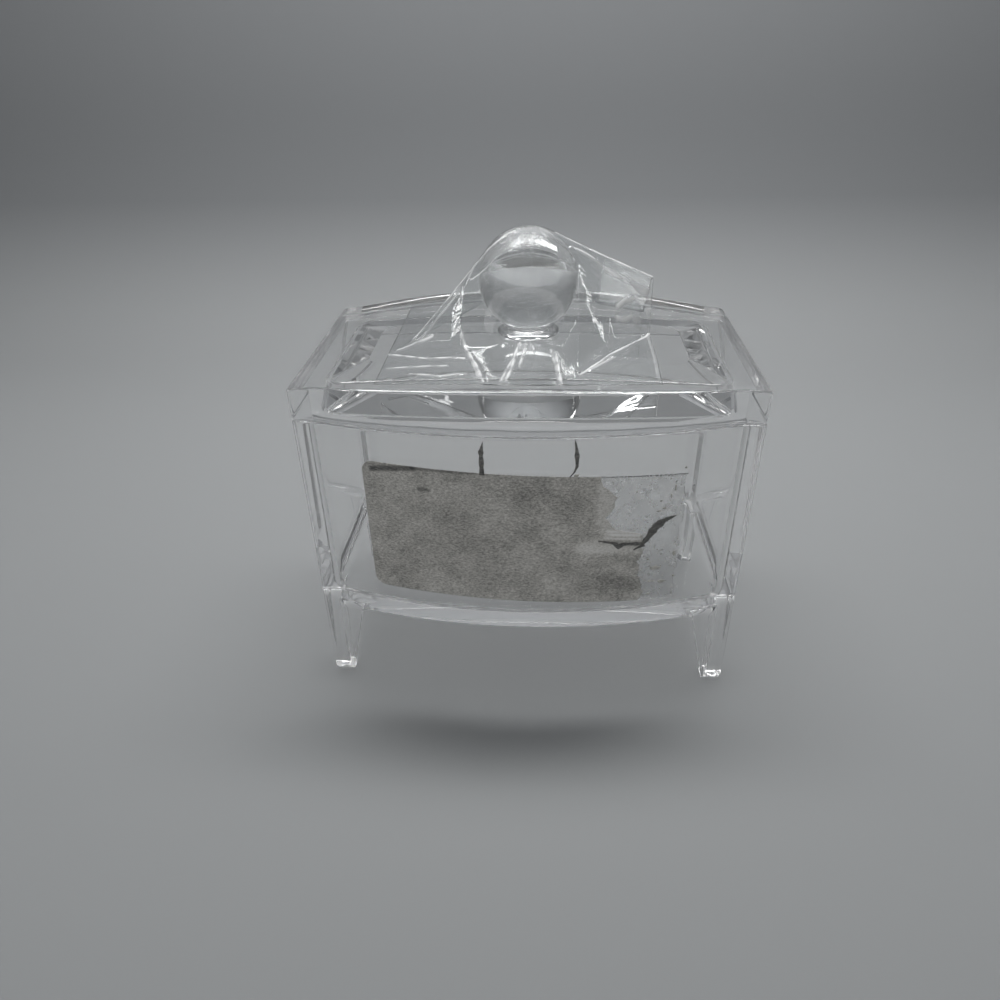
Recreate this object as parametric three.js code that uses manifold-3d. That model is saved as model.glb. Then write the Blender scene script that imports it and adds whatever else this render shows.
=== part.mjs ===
// Clear moulded holder for cotton swabs: a footed box with bowed walls, a lid that lifts off and a ball
// knob bonded into it, with the torn paper label and the packing film that are still on it.
// Millimetres, +Z up, front towards -Y. The origin is on the table, under the middle of the box.

import * as THREE from 'three';
import { mergeVertices } from 'three/addons/utils/BufferGeometryUtils.js';
import Module from 'manifold-3d';

const wasm = await Module();
wasm.setup();

// Box, outside
const WIDTH = 114;
const DEPTH = 61.6; // between the flat faces of the front and rear posts
const BOW = 8; // swell of the front and rear walls past the posts
const POST_FACE = 5.7; // flat of each post, beside the bowed wall
const CORNER_ROUND = 1.4;
const EDGE_ROUND = 0.5;
const BOX_HEIGHT = 57.1; // underside of the floor to the rim

// Box, inside
const WALL = 2.5;
const FLOOR = 3;
const INNER_ROUND = 6.5; // upright corners of the hollow
const FLOOR_ROUND = 1.2; // sweep from the floor into the walls

// Legs: the four corners of the wall, carried down below the floor as angle sections
const LEG_HEIGHT = 24.8;
const LEG_TOP = 11.5; // width of a leg at the floor, on each of its two faces
const LEG_FOOT = 6; // width of a leg at the table
const LEG_WALL = 3;
const LEG_ROUND = 2.5; // corner of the opening beside a leg, under the floor
const LEG_SWEEP = 2.5; // sweep from the inside of a leg into the underside of the floor

// Lid
const SEAT_GAP = 0.3; // between the rim and the lid, and round the knob's spigot
const LID_EDGE = 8; // height of the lid's side at its corners
const LID_ARCH = 3.5; // rise of the top from the ends to the middle
const LID_MARGIN = 7.3; // from the lid's ends and post faces in to the lip
const LIP = 1.4; // thickness of the locating lip
const LIP_DROP = 2.5; // reach of the lip below the rim
const LIP_ROUND = 4; // outer corner of the lip
const BEVEL = 7.6; // width of the slope inside the lip
const BEVEL_ROUND = 1.5; // corner of the recess at the top of the slope
const RECESS_DEPTH = 3.6;

// Knob
const BALL = 25.3; // diameter
const BALL_RISE = 1.2; // lid to the underside of the ball
const COLLAR = 16; // diameter of the foot that stands on the lid
const COLLAR_EDGE = 0.6; // height of the foot's upright edge
const NECK = 13.2; // diameter where the neck runs into the ball
const SPIGOT = 8; // diameter of the peg in the lid's socket
const SPIGOT_LENGTH = 4;

// Paper label, torn off at its right end, with two strips left of a tab that stood on its upper edge
const LABEL_LEFT = -40; // along the front wall, from the middle
const LABEL_RISE = 9.5; // above the underside of the floor
const LABEL_WIDTH = 71; // what is left of it, along its lower edge
const LABEL_HEIGHT = 38;
const LABEL_ROUND = 3;
const LABEL_THICK = 0.2;
const LABEL_GAP = 0.1;
// torn edge from the lower corner up, in shares of the label's width and height
const TEAR = [[1, 0], [0.99, 0.18], [0.87, 0.33], [0.76, 0.47], [0.79, 0.67], [0.86, 0.88], [0.83, 1]];
const TAB_MIDDLE = 1.1; // along the front wall, from the middle
const TAB_WIDTH = 23.6;
const TAB_HEIGHT = 7.5;
const TAB_STRIP = 1.1; // width of each strip

// Packing film, draped over the knob and lying on the lid round it
const FILM_LEFT = -35;
const FILM_RIGHT = 31;
const FILM_FRONT = -33;
const FILM_REAR = 26;
const FILM_THICK = 0.4;
const FILM_GAP = 0.3;
const FILM_CROWN = 12; // roundness of the film over the ball
const FILM_FALL_LEFT = 1.12; // slopes of the film away from the ball
const FILM_FALL_RIGHT = 0.42;
const FILM_FALL_FRONT = 1.15;
const FILM_CLEAR = 0.25; // extra lift that carries the film's flanks past the ball
const FILM_EASE = 3; // roundness where the film comes down on to the lid
const FILM_FOLDS = 14; // creases in a full turn round the knob
const FILM_FOLD = 0.9; // height of a crease at the front edge

// Steps of the round stretches
const BOW_STEPS = 28;
const CORNER_STEPS = 4;
const ROUND_STEPS = 6;
const SWEEP_STEPS = 6;
const EDGE_STEPS = 2;
const CURVE_STEPS = 8;
const KNOB_SIDES = 48;
const BALL_STEPS = 20;
const FILM_STEPS = 24;

const HALF_WIDTH = WIDTH / 2;
const HALF_DEPTH = DEPTH / 2;
const HALF_CHORD = HALF_WIDTH - POST_FACE;
const BOW_RADIUS = (HALF_CHORD ** 2 + BOW ** 2) / (2 * BOW);
const BOW_CENTRE = BOW_RADIUS - BOW - HALF_DEPTH; // y of the front wall's centre of curvature
const REACH = HALF_DEPTH + BOW; // middle of the front wall, from the box's middle
const FLOOR_Z = LEG_HEIGHT + FLOOR;
const RIM_Z = LEG_HEIGHT + BOX_HEIGHT;
const LID_Z = RIM_Z + SEAT_GAP;
const LID_TOP_Z = LID_Z + LID_EDGE + LID_ARCH;
const BALL_Z = LID_TOP_Z + BALL_RISE + BALL / 2;
const CLEAR = 1; // how far a cutter runs past the face that it cuts, or a join into the body behind it

// Solid body of a three.js geometry, ready to join and cut.
function solid(geometry) {
  const bare = geometry.clone();
  bare.deleteAttribute('normal');
  bare.deleteAttribute('uv');
  const welded = mergeVertices(bare);
  const vertProperties = new Float32Array(welded.attributes.position.array);
  const triVerts = new Uint32Array(welded.index.array);
  return new wasm.Manifold(new wasm.Mesh({ numProp: 3, vertProperties, triVerts }));
}

// Named mesh of a solid body, in its own material.
function piece(name, body, color, roughness) {
  const { vertProperties, triVerts } = body.getMesh();
  const geometry = new THREE.BufferGeometry();
  geometry.setAttribute('position', new THREE.BufferAttribute(vertProperties, 3));
  geometry.setIndex(new THREE.BufferAttribute(triVerts, 1));
  geometry.computeVertexNormals();
  const material = new THREE.MeshStandardMaterial({ color, roughness, metalness: 0 });
  const mesh = new THREE.Mesh(geometry, material);
  mesh.name = name;
  return mesh;
}

// Points of a circular arc, from one angle to another, counterclockwise.
function arc(x, y, radius, from, to, steps) {
  return new THREE.EllipseCurve(x, y, radius, radius, from, to).getPoints(steps);
}

// Plan of the outside, moved in evenly by an inset: flat posts at the corners, bowed walls between.
// The points run along the front from left to right, then back along the rear.
function shellPlan(inset) {
  const side = HALF_WIDTH - inset - CORNER_ROUND;
  const face = HALF_DEPTH - inset - CORNER_ROUND;
  const radius = BOW_RADIUS - inset;
  const spread = Math.acos((BOW_CENTRE + HALF_DEPTH - inset) / radius);
  const down = -Math.PI / 2;
  const front = [
    ...arc(-side, -face, CORNER_ROUND, -Math.PI, down, CORNER_STEPS),
    ...arc(0, BOW_CENTRE, radius, down - spread, down + spread, BOW_STEPS),
    ...arc(side, -face, CORNER_ROUND, down, 0, CORNER_STEPS),
  ];
  return [...front, ...front.map((point) => point.clone().negate())];
}

// Plan of a hollow, inset evenly from the outside: straight sides, walls that follow the bow, and round
// corners that are tangent to both.
function hollowPlan(inset, round) {
  const radius = BOW_RADIUS - inset;
  const x = HALF_WIDTH - inset - round;
  const y = BOW_CENTRE - Math.sqrt((radius - round) ** 2 - x ** 2);
  const turn = Math.atan2(y - BOW_CENTRE, -x);
  const front = [
    ...arc(-x, y, round, -Math.PI, turn, ROUND_STEPS),
    ...arc(0, BOW_CENTRE, radius, turn, -Math.PI - turn, BOW_STEPS).slice(1),
    ...arc(x, y, round, -Math.PI - turn, 0, ROUND_STEPS).slice(1),
  ];
  return [...front, ...front.map((point) => point.clone().negate())];
}

// Plan of a rectangle with round corners, in the same order as the other plans.
function panelPlan(halfWidth, halfDepth, round) {
  const front = [
    ...arc(round - halfWidth, round - halfDepth, round, -Math.PI, -Math.PI / 2, ROUND_STEPS),
    ...arc(halfWidth - round, round - halfDepth, round, -Math.PI / 2, 0, ROUND_STEPS),
  ];
  return [...front, ...front.map((point) => point.clone().negate())];
}

// Ring of a plan at a height, which may vary along the width.
function ring(plan, height) {
  const z = typeof height === 'function' ? height : () => height;
  return plan.map((point) => new THREE.Vector3(point.x, point.y, z(point.x)));
}

// Closed skin through a stack of rings with equal numbers of points, lowest ring first. Each end is
// closed by strips from the front half of its ring to the rear half.
function loft(rings) {
  const count = rings[0].length;
  const top = (rings.length - 1) * count;
  const faces = [];
  for (let base = 0; base < top; base += count) {
    for (let i = 0; i < count; i++) {
      const a = base + i;
      const b = base + ((i + 1) % count);
      faces.push(a, b, b + count, a, b + count, a + count);
    }
  }
  for (let i = 0; i + 1 < count / 2; i++) {
    const rear = count - 1 - i;
    faces.push(i, rear - 1, i + 1, i, rear, rear - 1);
    faces.push(top + i, top + i + 1, top + rear - 1, top + i, top + rear - 1, top + rear);
  }
  const geometry = new THREE.BufferGeometry().setFromPoints(rings.flat());
  geometry.setIndex(faces);
  return solid(geometry);
}

// Insets and rises of a quarter round, from its foot on the face to its end on the wall.
function quarterRound(radius, steps) {
  return Array.from({ length: steps + 1 }, (_, step) => {
    const angle = (step / steps) * (Math.PI / 2);
    return { inset: radius * (1 - Math.sin(angle)), rise: radius * (1 - Math.cos(angle)) };
  });
}

// Body of an upright profile carried along Y (or along X after a quarter turn), centred on the box.
function profile(shape, length) {
  const settings = { depth: length, bevelEnabled: false, curveSegments: CURVE_STEPS };
  const geometry = new THREE.ExtrudeGeometry(shape, settings);
  geometry.rotateX(Math.PI / 2);
  geometry.translate(0, length / 2, 0);
  return geometry;
}

// Opening between two legs: a trapezium that narrows upwards, with round upper corners.
function legOpening(halfSpan, length) {
  const lean = (LEG_TOP - LEG_FOOT) / LEG_HEIGHT;
  const foot = halfSpan - LEG_FOOT + lean * CLEAR;
  const top = halfSpan - LEG_TOP;
  const shape = new THREE.Shape();
  shape.moveTo(-foot, -CLEAR);
  shape.lineTo(foot, -CLEAR);
  shape.lineTo(top + lean * LEG_ROUND, LEG_HEIGHT - LEG_ROUND);
  shape.quadraticCurveTo(top, LEG_HEIGHT, top - LEG_ROUND, LEG_HEIGHT);
  shape.lineTo(LEG_ROUND - top, LEG_HEIGHT);
  shape.quadraticCurveTo(-top, LEG_HEIGHT, -top - lean * LEG_ROUND, LEG_HEIGHT - LEG_ROUND);
  return profile(shape, length);
}

// Box: a bowed shell with its hollow above the floor, and legs left standing by the openings below.
function box() {
  const edge = quarterRound(EDGE_ROUND, EDGE_STEPS);
  const outside = loft([
    ...edge.map(({ inset, rise }) => ring(shellPlan(inset), rise)),
    ...edge.toReversed().map(({ inset, rise }) => ring(shellPlan(inset), RIM_Z - rise)),
  ]);
  const hollow = loft([
    ...quarterRound(FLOOR_ROUND, SWEEP_STEPS).map(({ inset, rise }) =>
      ring(hollowPlan(WALL + inset, INNER_ROUND - inset), FLOOR_Z + rise)),
    ring(hollowPlan(WALL, INNER_ROUND), RIM_Z + CLEAR),
  ]);
  const underside = loft([
    ring(hollowPlan(LEG_WALL, INNER_ROUND), -CLEAR),
    ...quarterRound(LEG_SWEEP, SWEEP_STEPS).toReversed().map(({ inset, rise }) =>
      ring(hollowPlan(LEG_WALL + inset, INNER_ROUND - inset), LEG_HEIGHT - rise)),
  ]);
  const frontOpening = solid(legOpening(HALF_WIDTH, 2 * REACH + 2 * CLEAR));
  const sideOpening = solid(legOpening(HALF_DEPTH, WIDTH + 2 * CLEAR).rotateZ(Math.PI / 2));
  return outside.subtract(hollow).subtract(underside).subtract(frontOpening).subtract(sideOpening);
}

// Height of the lid's arched top at a place along the width.
function lidTop(x) {
  return LID_TOP_Z - LID_ARCH * (x / HALF_WIDTH) ** 2;
}

// Lid: a thick arched slab with a bevelled recess below, a lip round its mouth and the knob's socket.
function lid() {
  const edge = quarterRound(EDGE_ROUND, EDGE_STEPS);
  const slab = loft([
    ...edge.map(({ inset, rise }) => ring(shellPlan(inset), LID_Z + rise)),
    ...edge.toReversed().map(({ inset, rise }) => ring(shellPlan(inset), (x) => lidTop(x) - rise)),
  ]);
  const plan = (inset, round) => panelPlan(HALF_WIDTH - inset, HALF_DEPTH - inset, round);
  const mouth = LID_MARGIN + LIP;
  const lip = loft([
    ring(plan(LID_MARGIN, LIP_ROUND), LID_Z - LIP_DROP),
    ring(plan(LID_MARGIN, LIP_ROUND), LID_Z + CLEAR),
  ]);
  const recess = loft([
    ring(plan(mouth, LIP_ROUND - LIP), LID_Z - LIP_DROP - CLEAR),
    ring(plan(mouth, LIP_ROUND - LIP), LID_Z),
    ring(plan(mouth + BEVEL, BEVEL_ROUND), LID_Z + RECESS_DEPTH),
  ]);
  const depth = SPIGOT_LENGTH + SEAT_GAP + CLEAR;
  const socket = new THREE.CylinderGeometry(SPIGOT / 2 + SEAT_GAP, SPIGOT / 2 + SEAT_GAP, depth, KNOB_SIDES);
  socket.rotateX(Math.PI / 2);
  socket.translate(0, 0, LID_TOP_Z + CLEAR - depth / 2);
  return slab.add(lip).subtract(recess).subtract(solid(socket));
}

// Knob: a ball on a flared foot, with the spigot that is bonded into the lid.
function knob() {
  const foot = LID_TOP_Z + SEAT_GAP;
  const radius = BALL / 2;
  const meet = Math.asin(NECK / BALL); // angle from straight down where the neck runs into the ball
  const meetZ = BALL_Z - radius * Math.cos(meet);
  const flare = new THREE.QuadraticBezierCurve(
    new THREE.Vector2(COLLAR / 2, foot + COLLAR_EDGE),
    new THREE.Vector2(NECK / 2 - COLLAR_EDGE, (foot + COLLAR_EDGE + meetZ) / 2),
    new THREE.Vector2(NECK / 2, meetZ),
  );
  const down = -Math.PI / 2;
  const outline = [
    new THREE.Vector2(0, foot - SPIGOT_LENGTH),
    new THREE.Vector2(SPIGOT / 2, foot - SPIGOT_LENGTH),
    new THREE.Vector2(SPIGOT / 2, foot),
    new THREE.Vector2(COLLAR / 2, foot),
    ...flare.getPoints(ROUND_STEPS),
    ...arc(0, BALL_Z, radius, down + meet, -down, BALL_STEPS).slice(1, -1),
    new THREE.Vector2(0, BALL_Z + radius),
  ];
  return solid(new THREE.LatheGeometry(outline, KNOB_SIDES).rotateX(Math.PI / 2));
}

// Outline of the label on the wall: round corners on the left, a tear on the right and the tab's strips.
function labelOutline() {
  const bottom = LEG_HEIGHT + LABEL_RISE;
  const top = bottom + LABEL_HEIGHT;
  const left = LABEL_LEFT;
  const paper = new THREE.Shape();
  paper.moveTo(left + LABEL_ROUND, bottom);
  TEAR.forEach(([across, up]) => paper.lineTo(left + across * LABEL_WIDTH, bottom + up * LABEL_HEIGHT));
  for (const side of [1, -1]) {
    const outer = TAB_MIDDLE + side * TAB_WIDTH / 2;
    const inner = outer - side * TAB_STRIP;
    const [first, last] = side > 0 ? [outer, inner] : [inner, outer];
    paper.lineTo(first, top);
    paper.lineTo(inner, top + TAB_HEIGHT);
    paper.lineTo(last, top);
  }
  paper.lineTo(left + LABEL_ROUND, top);
  paper.quadraticCurveTo(left, top, left, top - LABEL_ROUND);
  paper.lineTo(left, bottom + LABEL_ROUND);
  paper.quadraticCurveTo(left, bottom, left + LABEL_ROUND, bottom);
  return paper;
}

// Label: a thin sheet bent to the front wall and cut to its outline.
function label() {
  const sheet = new THREE.Shape();
  const inner = BOW_RADIUS + LABEL_GAP;
  const spread = Math.asin(HALF_CHORD / BOW_RADIUS);
  const down = -Math.PI / 2;
  sheet.setFromPoints([
    ...arc(0, BOW_CENTRE, inner + LABEL_THICK, down - spread, down + spread, BOW_STEPS),
    ...arc(0, BOW_CENTRE, inner, down - spread, down + spread, BOW_STEPS).reverse(),
  ]);
  const skin = new THREE.ExtrudeGeometry(sheet, { depth: RIM_Z, bevelEnabled: false });
  const cutter = profile(labelOutline(), 2 * REACH + 2 * CLEAR);
  cutter.translate(0, -REACH, 0);
  return solid(skin).intersect(solid(cutter));
}

// Height of the film's underside: a tent over the ball that eases down on to the lid, with creases that
// fan out from the knob and grow towards the front edge.
function filmHeight(x, y) {
  const crown = BALL_Z + BALL / 2 + FILM_GAP + FILM_CLEAR;
  const drop = (distance) => Math.hypot(distance, FILM_CROWN) - FILM_CROWN;
  const fall = drop(x) * (x < 0 ? FILM_FALL_LEFT : FILM_FALL_RIGHT) + drop(y) * FILM_FALL_FRONT;
  const tent = crown - fall;
  const rest = lidTop(x) + FILM_GAP;
  const pull = THREE.MathUtils.smoothstep(-y, BALL / 2, -FILM_FRONT);
  const crease = FILM_FOLD * pull * (1 + Math.cos(FILM_FOLDS * Math.atan2(x, -y))) / 2;
  return (tent + rest + Math.hypot(tent - rest, FILM_EASE)) / 2 + crease;
}

// Film: a thin draped sheet, closed at its four edges.
function film() {
  const across = Array.from({ length: FILM_STEPS + 1 }, (_, i) =>
    THREE.MathUtils.lerp(FILM_LEFT, FILM_RIGHT, i / FILM_STEPS));
  const strip = (y) => across.map((x) => new THREE.Vector3(x, y, filmHeight(x, y)));
  const rows = Array.from({ length: FILM_STEPS + 1 }, (_, i) =>
    strip(THREE.MathUtils.lerp(FILM_FRONT, FILM_REAR, i / FILM_STEPS)));
  const points = rows.flat();
  const upper = points.map((point) => point.clone().setZ(point.z + FILM_THICK));
  const faces = [];
  const quad = (a, b, c, d) => faces.push(a, b, c, a, c, d);
  const side = FILM_STEPS + 1;
  const lift = side * side;
  for (let row = 0; row < FILM_STEPS; row++) {
    for (let i = 0; i < FILM_STEPS; i++) {
      const a = row * side + i;
      quad(a, a + side, a + side + 1, a + 1);
      quad(lift + a, lift + a + 1, lift + a + side + 1, lift + a + side);
    }
  }
  const last = FILM_STEPS * side;
  for (let i = 0; i < FILM_STEPS; i++) {
    quad(i, i + 1, lift + i + 1, lift + i);
    quad(last + i + 1, last + i, lift + last + i, lift + last + i + 1);
    quad((i + 1) * side, i * side, lift + i * side, lift + (i + 1) * side);
    const right = i * side + FILM_STEPS;
    quad(right, right + side, lift + right + side, lift + right);
  }
  const geometry = new THREE.BufferGeometry().setFromPoints([...points, ...upper]);
  geometry.setIndex(faces);
  return solid(geometry);
}

const holder = new THREE.Group();
holder.add(piece('box', box(), 0xdfe6e8, 0.05));
holder.add(piece('lid', lid(), 0xdfe6e8, 0.05));
holder.add(piece('knob', knob(), 0xe4eaec, 0.04));
holder.add(piece('paper_label', label(), 0x7b7873, 0.9));
holder.add(piece('packing_film', film(), 0xeef1f2, 0.1));

export default holder;
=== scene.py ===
"""Looks of a clear cotton swab holder: a moulded box with bowed walls on four tapered legs, a thick lid
that lifts off by its ball knob, what is left of a torn paper label, and a piece of creased packing film.

Lengths are in metres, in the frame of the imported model. Those of the holder are written as millimetres
times MM.
"""

import math

import bmesh
import bpy
import numpy as np
from mathutils import Matrix, Vector


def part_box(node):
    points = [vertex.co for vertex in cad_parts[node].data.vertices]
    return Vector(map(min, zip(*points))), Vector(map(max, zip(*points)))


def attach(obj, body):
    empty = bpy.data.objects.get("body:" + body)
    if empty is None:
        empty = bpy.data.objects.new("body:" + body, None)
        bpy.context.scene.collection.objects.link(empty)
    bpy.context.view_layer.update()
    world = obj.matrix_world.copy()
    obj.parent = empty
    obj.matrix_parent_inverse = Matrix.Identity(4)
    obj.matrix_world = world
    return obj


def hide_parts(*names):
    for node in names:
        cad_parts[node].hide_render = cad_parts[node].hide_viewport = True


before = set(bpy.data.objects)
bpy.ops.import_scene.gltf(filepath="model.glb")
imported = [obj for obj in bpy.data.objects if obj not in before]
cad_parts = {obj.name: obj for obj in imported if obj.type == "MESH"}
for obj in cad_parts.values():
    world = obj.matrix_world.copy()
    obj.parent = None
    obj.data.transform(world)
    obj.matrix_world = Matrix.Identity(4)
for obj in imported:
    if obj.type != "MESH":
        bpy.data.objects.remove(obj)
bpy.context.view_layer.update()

MM = 0.001

# Sizes that the frame gives
box_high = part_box("box")[1]
lid_low, lid_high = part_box("lid")
knob_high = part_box("knob")[1]
label_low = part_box("paper_label")[0]
film_low, film_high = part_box("packing_film")
HALF_WIDTH = box_high.x
REACH = box_high.y
RIM_Z = box_high.z
LIP_Z = lid_low.z
LID_TOP_Z = lid_high.z
BALL_RADIUS = knob_high.x
BALL_Z = knob_high.z - BALL_RADIUS

# Box
BOW = 8 * MM
POST_FACE = 5.7 * MM
CORNER_ROUND = 1.4 * MM
EDGE_ROUND = 0.5 * MM
FINE_ROUND = 0.3 * MM
WALL = 2.5 * MM
FLOOR = 3 * MM
INNER_ROUND = 6.5 * MM
FLOOR_ROUND = 3 * MM
LEG_HEIGHT = 24.8 * MM
LEG_TOP = 11.5 * MM
LEG_FOOT = 6 * MM
LEG_WALL = 3 * MM
LEG_ROUND = 2.5 * MM
LEG_SWEEP = 2.5 * MM

# Lid
SEAT_GAP = 0.3 * MM
LID_ARCH = 3.5 * MM
LID_MARGIN = 7.3 * MM
LIP = 1.4 * MM
LIP_ROUND = 5.5 * MM
BEVEL = 7.6 * MM
BEVEL_ROUND = 6 * MM
BEVEL_STEPS = 14
RECESS_DEPTH = 3.6 * MM
LID_TOP_RINGS = [0.99, *np.linspace(0.97, 0.02, 26)]  # shares of the way from the middle out to the edge

# Knob
COLLAR = 16 * MM
COLLAR_EDGE = 0.6 * MM
NECK = 13.2 * MM
FOOT_ROUND = 0.2 * MM  # round of the foot's lower edge
FOOT_STEPS = 6
FOOT_RING = 0.4  # share of the foot's radius at which the first ring of its flat underside lies
FLARE_STEPS = 24
BALL_STEPS = 96
BALL_POLE = 0.01  # angle by which the last ring stops short of the ball's top
KNOB_SIDES = 128

# Label, along the front wall from the middle and up from the table
LABEL_GAP = 0.1 * MM
LABEL_THICK = 0.15 * MM
LABEL_ROUND = 3 * MM
LABEL_TILT = -0.035  # rise of its edges for each unit to the right
LABEL_BOTTOM = label_low.z
LABEL_HEIGHT = 38 * MM
LABEL_END = 39 * MM  # where its right end was before it tore
LABEL_GRID = (190, 150)  # points up and along the sheet
# Points along its torn end, from the bottom up
TEAR = np.array([(29.9, 33.0), (30.5, 36.3), (29.6, 41.7), (28.4, 46.0), (30.0, 48.7), (29.8, 51.5),
                 (28.6, 54.6), (22.0, 56.4), (20.4, 60.0), (22.2, 65.8), (19.7, 68.7), (17.9, 70.8)]) * MM
TEAR_WAVE = 9 * MM  # longest wave of the ragged edge, and its height
TEAR_RAGGED = 0.35 * MM
RAGGED_WAVES = (1, 2, 4, 7, 13)  # of any ragged edge, to the length of its longest wave
RAGGED_FALL = 0.8  # power by which the shorter waves are lower
# How much paler or darker than the sheet each mark is, its half width, and points along it, in millimetres
LABEL_MARKS = [
    (-0.6, 0.7, [(-37.4, 71.6), (-33.0, 72.2), (-27.1, 72.8)]),
    (-0.35, 0.5, [(-27.1, 72.9), (-12.0, 72.8)]),
    (-0.4, 0.6, [(-25.7, 67.2), (-23.4, 67.0)]),
    (0.3, 1.5, [(14.2, 51.4), (19.0, 50.6), (22.0, 50.6)]),
    (0.3, 1.3, [(24.6, 49.8), (28.6, 49.6)]),
    (0.25, 1.2, [(21.0, 54.9), (28.2, 53.8)]),
    (0.6, 0.3, [(20.6, 56.0), (28.0, 55.2)]),
    (0.65, 0.35, [(21.4, 54.9), (28.4, 54.2)]),
    (0.4, 0.3, [(20.0, 53.9), (28.6, 53.0)]),
    (0.35, 2.5, [(20.0, 58.5), (19.8, 68.0)]),
    (-0.2, 2.2, [(22.0, 41.0), (28.5, 38.5)]),
    (-0.15, 2.0, [(13.0, 39.0), (20.0, 37.0)]),
]
DARK_RIBBONS = [  # points along each dark strip, with its half width at each, in millimetres
    ([(-10.1, 72.3), (-10.15, 78.6), (-9.65, 81.2)], [0.55, 0.55, 0.06]),
    ([(11.65, 81.8), (12.1, 79.2), (12.25, 77.0), (12.3, 74.9)], [0.06, 0.42, 0.55, 0.3]),
    ([(12.35, 75.0), (11.7, 73.3), (10.7, 72.0)], [0.3, 0.2, 0.08]),
    ([(18.3, 53.3), (22.4, 52.3), (23.4, 51.2), (24.8, 51.9), (29.6, 51.6), (31.0, 53.8), (32.4, 56.4),
      (34.6, 58.2), (37.4, 59.3)], [0.12, 0.35, 0.8, 0.35, 0.45, 0.8, 1.15, 0.7, 0.1]),
    ([(30.0, 51.3), (27.4, 49.9)], [0.5, 0.1]),
]
PAPER_FLECKS = [  # place along and up the wall, with half length and half height, in millimetres
    (12.2, 72.3, 0.6, 0.35), (34.2, 61.6, 0.5, 0.35), (33.0, 60.9, 0.7, 0.2), (36.4, 67.2, 0.2, 1.0),
    (35.6, 65.0, 0.2, 0.6), (33.2, 63.8, 0.3, 0.2), (38.0, 47.4, 0.35, 0.8), (33.4, 43.4, 1.5, 0.55),
    (35.4, 38.8, 1.1, 0.45), (32.8, 39.2, 0.9, 0.3), (38.6, 40.2, 0.4, 0.25), (32.4, 35.0, 0.5, 0.2),
    (29.0, 46.6, 0.25, 0.25), (38.4, 72.6, 0.3, 0.25), (27.0, 67.0, 0.3, 0.2), (31.4, 46.4, 0.4, 0.3),
]
CRUMB_COUNT = 160  # specks of pulp that stay on the glue, thinning out from the tear
CRUMB_SPREAD = 6 * MM
CRUMB_RISE = (0.02, 0.98)  # shares of the label's height between which they lie
CRUMB_MARGIN = 0.5 * MM  # least distance from the label's old right end
CRUMB_LEAST = 0.05  # half size, in millimetres
CRUMB_MOST = 0.17
FLECK_POINTS = 4  # along each side of a fleck or crumb
FLECK_UNEVEN = 0.25  # share by which its points are out of place
FLECK_TONE = 0.1
# How much darker than the sheet the dark strips are
RIBBON_TONE = -0.6
RIBBON_LIFT = 0.2 * MM
RIBBON_WAVE = 3 * MM  # longest wave of its ragged edges
RIBBON_RAGGED = 0.15  # share of its width that comes and goes
RIBBON_STEPS = 6  # for each of its points
RIBBON_POINTS = 4  # across it
GLUE_THICK = 0.02 * MM
GLUE_GAP = 0.05 * MM
GLUE_UNDER = 1 * MM  # how far the glue reaches in under the label
GLUE_WAVE = 14 * MM  # longest wave of its ragged end, and its height
GLUE_RAGGED = 0.3 * MM
GLUE_GRID = (90, 50)  # points up and along it

# Film
FILM_THICK = 0.05 * MM
FILM_GAP = 0.3 * MM
FILM_FALL_LEFT = 1.12  # slopes at which it falls away from the ball
FILM_FALL_RIGHT = 0.42
FILM_FALL_REAR = 1.15
FILM_FALL_X = np.array([-34.7, -16, -8, 0, 7, 12, 20, 26, 31]) * MM  # places along the film
FILM_FALL_FRONT = np.array([1.15, 1.0, 1.5, 2.2, 1.5, 0.85, 1.4, 2.6, 6.0])  # its fall to the front at each
FILM_TUCK = 9 * MM  # how far it is tucked in under the ball
FILM_TUCK_SIDE = 9 * MM  # length over which the tuck fades out to each side and to the rear
FILM_TUCK_TOP = 2 * MM  # height above the ball's middle at which it starts
FILM_TUCK_DROP = 15 * MM  # fall over which it gets its full depth
FILM_VALLEY = -20 * MM  # front of the full tuck, which runs out from there to the film's front edge
FILM_HUG = 7 * MM  # from the middle of the ball out to where the film leaves it
FILM_GATHER = 12 * MM  # length over which the film then gathers into a ridge
FILM_RIDGE_ROUND = 0.12  # share of the ball's roundness that the ridge keeps
FILM_RIDGE_LEFT = -0.4  # how far the ridge runs to the front for each unit along it
FILM_RIDGE_RIGHT = -0.1
FILM_EASE = 1.6 * MM  # roundness of the turn from its falls into the apron
FILM_APRON = 0.14  # slope at which it stands off the lid, from the front edge back
FILM_APRON_REACH = 14 * MM
FILM_APRON_SIDE = 18 * MM  # from the left edge in to where the apron has its full height
FILM_BULGE = 2.5 * MM  # how far the front edge bows out between its ends
FILM_FRONT = -36 * MM
FILM_GRID = (214, 224)  # points from front to rear and from left to right
CREASE_WIDTH = 0.5 * MM
CREASE_SWELL = 3.4 * MM  # length from one swell to the next, and the slant of the swells
CREASE_SLANT = 0.6
CREASE_MEAN = 0.85  # share of its height that a crease has, and how much that varies
CREASE_VARIES = 0.1
GLINT_WIDTH = 0.32 * MM  # of the painted glint, a white line along a crease
GLINT_FADE = 5 * MM  # length from one stretch of painted glint to the next, and the slant of the stretches
GLINT_SLANT = -0.7
GLINT_MEAN = 0.75  # share of its painted glint that a crease has, how much that varies, and its least
GLINT_VARIES = 0.35
GLINT_LEAST = 0.4
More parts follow.
